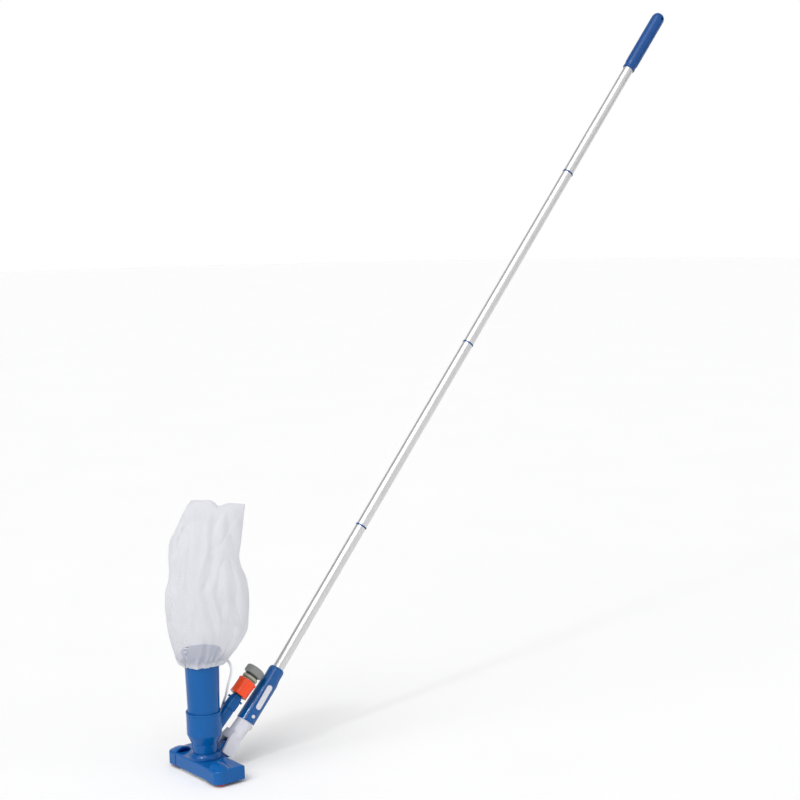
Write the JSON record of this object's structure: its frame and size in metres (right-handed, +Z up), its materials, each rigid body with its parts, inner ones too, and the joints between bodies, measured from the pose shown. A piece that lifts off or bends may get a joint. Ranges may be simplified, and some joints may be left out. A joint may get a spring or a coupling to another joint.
{
  "type": "manual vacuum head",
  "caption": "Hose-driven suction head with brushes and wheels, venturi riser, drawstring mesh bag and sectional pole on a pivoting yoke.",
  "frame": {"origin": "on the floor plane under the middle of the suction head", "axes": "+X along the head's long side, -Y out of its front, +Z up; the pole leans towards +Y"},
  "size_m": [0.18, 1.317, 1.4569],
  "materials": {
    "blue_body": "semi-gloss moulded",
    "blue_deep": "gloss moulded",
    "blue_sleeve": "gloss moulded",
    "blue_trim": "satin moulded",
    "white_plastic": "satin moulded",
    "cream_plastic": "satin moulded",
    "orange": "satin moulded",
    "wheel_orange": "satin moulded",
    "grey_plastic": "satin moulded",
    "black_plastic": "satin moulded",
    "dark_inner": "matte",
    "band_beige": "satin moulded",
    "dark_grey": "satin moulded",
    "aluminium_tube": "brushed anodised",
    "steel": "brushed",
    "seal_rubber": "matte",
    "bristle": "straight fibres",
    "mesh": "fine woven mesh",
    "cord": "braided"
  },
  "bodies": {
    "pole_assembly": {"yoke": "white_plastic", "pivot_pin": "white_plastic", "pin_retainer": "steel", "pole_sleeve": "blue_sleeve", "pole_tube_1": "aluminium_tube", "pole_tube_2": "aluminium_tube", "pole_tube_3": "aluminium_tube", "pole_tube_4": "aluminium_tube", "joint_ring_1": "blue_trim", "joint_ring_2": "blue_trim", "joint_ring_3": "blue_trim", "joint_insert_1": "white_plastic", "joint_insert_2": "white_plastic", "joint_insert_3": "white_plastic", "grip": "blue_trim"},
    "suction_head": {"head_shell": "blue_body", "pocket_liners": "dark_inner", "base_plate": "blue_trim", "base_screws": "steel", "base_fixing_screws": "steel", "front_brush_strip": "white_plastic", "rear_brush_strip": "white_plastic", "front_bristles": "bristle", "rear_bristles": "bristle", "wheel_axles": "steel", "jet_base": "blue_deep", "venturi_body": "blue_body", "jet_nozzle": "grey_plastic", "riser_tube": "blue_body", "riser_seal": "seal_rubber", "inlet_washer": "seal_rubber", "hose_nipple": "blue_body", "nipple_o_ring": "seal_rubber", "mesh_bag": "mesh", "bag_hem": "mesh", "drawstring": "cord", "drawstring_knot": "cord", "cord_lock": "black_plastic"},
    "connector": {"connector_body": "dark_grey", "connector_band_1": "band_beige", "connector_band_2": "band_beige", "claw_ring": "orange", "collar_springs": "steel", "hose_collet": "orange"},
    "collar": {"release_collar": "orange"},
    "clamp_nut": {"hose_clamp_nut": "grey_plastic"},
    "union": {"union_nut": "blue_body"},
    "latch_tab": {"release_tab": "cream_plastic"},
    "clip": {"lock_clip": "white_plastic"},
    "lock_button": {"cord_lock_button": "black_plastic"},
    "wheel_fl": {"wheel_front_left": "wheel_orange"},
    "wheel_fr": {"wheel_front_right": "wheel_orange"},
    "wheel_rl": {"wheel_rear_left": "wheel_orange"},
    "wheel_rr": {"wheel_rear_right": "wheel_orange"}
  },
  "joints": [
    {"name": "head_tilt", "type": "hinge", "parent": "pole_assembly", "child": "suction_head", "pos_m": [0, 0.047, 0.0388], "axis": [1, 0, 0], "range_deg": [0, 45]},
    {"name": "wheel_fl_spin", "type": "hinge", "parent": "suction_head", "child": "wheel_fl", "pos_m": [-0.077, -0.015, 0.0125], "axis": [1, 0, 0], "continuous": true},
    {"name": "wheel_fr_spin", "type": "hinge", "parent": "suction_head", "child": "wheel_fr", "pos_m": [0.077, -0.015, 0.0125], "axis": [1, 0, 0], "continuous": true},
    {"name": "wheel_rl_spin", "type": "hinge", "parent": "suction_head", "child": "wheel_rl", "pos_m": [-0.06, 0.0165, 0.0125], "axis": [1, 0, 0], "continuous": true},
    {"name": "wheel_rr_spin", "type": "hinge", "parent": "suction_head", "child": "wheel_rr", "pos_m": [0.06, 0.0165, 0.0125], "axis": [1, 0, 0], "continuous": true},
    {"name": "union_nut_turn", "type": "hinge", "parent": "suction_head", "child": "union", "pos_m": [0, 0.05755, 0.11717], "axis": [0, 0.7193, 0.6947], "continuous": true},
    {"name": "connector_swivel", "type": "hinge", "parent": "suction_head", "child": "connector", "pos_m": [0, 0.08632, 0.14496], "axis": [0, 0.7193, 0.6947], "continuous": true},
    {"name": "collar_pull", "type": "slide", "parent": "connector", "child": "collar", "axis": [0, 0.7193, 0.6947], "range_m": [0, 0.004], "stiffness_N_per_m": 600},
    {"name": "clamp_nut_turn", "type": "hinge", "parent": "connector", "child": "clamp_nut", "pos_m": [0, 0.11653, 0.17414], "axis": [0, 0.7193, 0.6947], "continuous": true},
    {"name": "lock_clip_press", "type": "slide", "parent": "pole_assembly", "child": "clip", "axis": [-0.9816, 0.146, -0.1229], "range_m": [0, 0.0028], "stiffness_N_per_m": 500},
    {"name": "latch_tab_press", "type": "slide", "parent": "pole_assembly", "child": "latch_tab", "axis": [0, -0.7649, 0.6441], "range_m": [0, 0.003], "stiffness_N_per_m": 500},
    {"name": "cord_lock_press", "type": "slide", "parent": "suction_head", "child": "lock_button", "axis": [0.996, -0.0894, 0], "range_m": [0, 0.003], "stiffness_N_per_m": 300}
  ]
}
